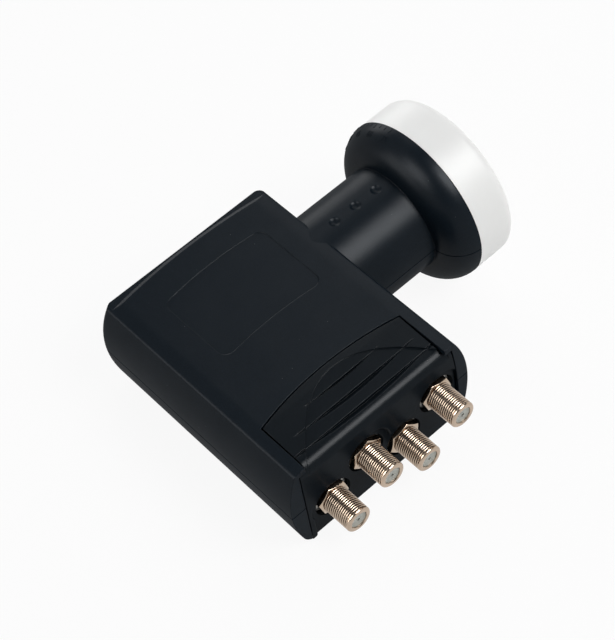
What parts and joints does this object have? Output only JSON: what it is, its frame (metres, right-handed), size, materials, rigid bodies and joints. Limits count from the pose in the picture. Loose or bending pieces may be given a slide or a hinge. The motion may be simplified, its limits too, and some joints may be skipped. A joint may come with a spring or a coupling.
{
  "type": "satellite low-noise block converter",
  "caption": "Satellite dish LNB: black two-half housing with a clamp neck, horn flare under a white cap, and a row of threaded coaxial outputs behind a sliding weather shield.",
  "frame": {"origin": "on the neck's axis, at the middle of the length that the clamp grips", "axes": "+X along the neck towards the cap, -Y the way the outputs point, +Z out of the label face"},
  "size_m": [0.1297, 0.1057, 0.0622],
  "materials": {
    "black_housing": "satin moulded",
    "black_shield": "satin moulded",
    "white_cap": "satin moulded",
    "seal_rubber": "matt",
    "die_cast": "as cast",
    "screw_steel": "zinc plated",
    "washer_steel": "bright",
    "circuit_board": "solder mask",
    "contact_brass": "gold flashed",
    "insulator_plastic": "matt",
    "chip_plastic": "matt",
    "nickel_brass": "nickel plated"
  },
  "bodies": {
    "housing": {"board_screws": "screw_steel", "cap_seal": "seal_rubber", "connector_body_1": "nickel_brass", "connector_body_2": "nickel_brass", "connector_body_3": "nickel_brass", "connector_body_4": "nickel_brass", "connector_contact_1": "contact_brass", "connector_contact_2": "contact_brass", "connector_contact_3": "contact_brass", "connector_contact_4": "contact_brass", "connector_insulator_1": "insulator_plastic", "connector_insulator_2": "insulator_plastic", "connector_insulator_3": "insulator_plastic", "connector_insulator_4": "insulator_plastic", "connector_nut_1": "nickel_brass", "connector_nut_2": "nickel_brass", "connector_nut_3": "nickel_brass", "connector_nut_4": "nickel_brass", "connector_washer_1": "washer_steel", "connector_washer_2": "washer_steel", "connector_washer_3": "washer_steel", "connector_washer_4": "washer_steel", "cover_gasket": "seal_rubber", "cover_screws": "screw_steel", "feed_cap": "white_cap", "filter_capacitors": "chip_plastic", "horizontal_probe": "contact_brass", "horn_casting": "die_cast", "low_noise_transistors": "chip_plastic", "lower_shell": "black_housing", "main_board": "circuit_board", "matrix_switch_chip": "chip_plastic", "mixer_chips": "chip_plastic", "probe_bushes": "insulator_plastic", "reference_crystal": "screw_steel", "regulators": "chip_plastic", "tray_cover": "die_cast", "upper_shell": "black_housing", "vertical_probe": "contact_brass"},
    "shield": {"weather_shield": "black_shield"}
  },
  "joints": [
    {"name": "shield_slide", "type": "slide", "parent": "housing", "child": "shield", "axis": [0, -1, 0], "range_m": [0, 0.022]}
  ]
}
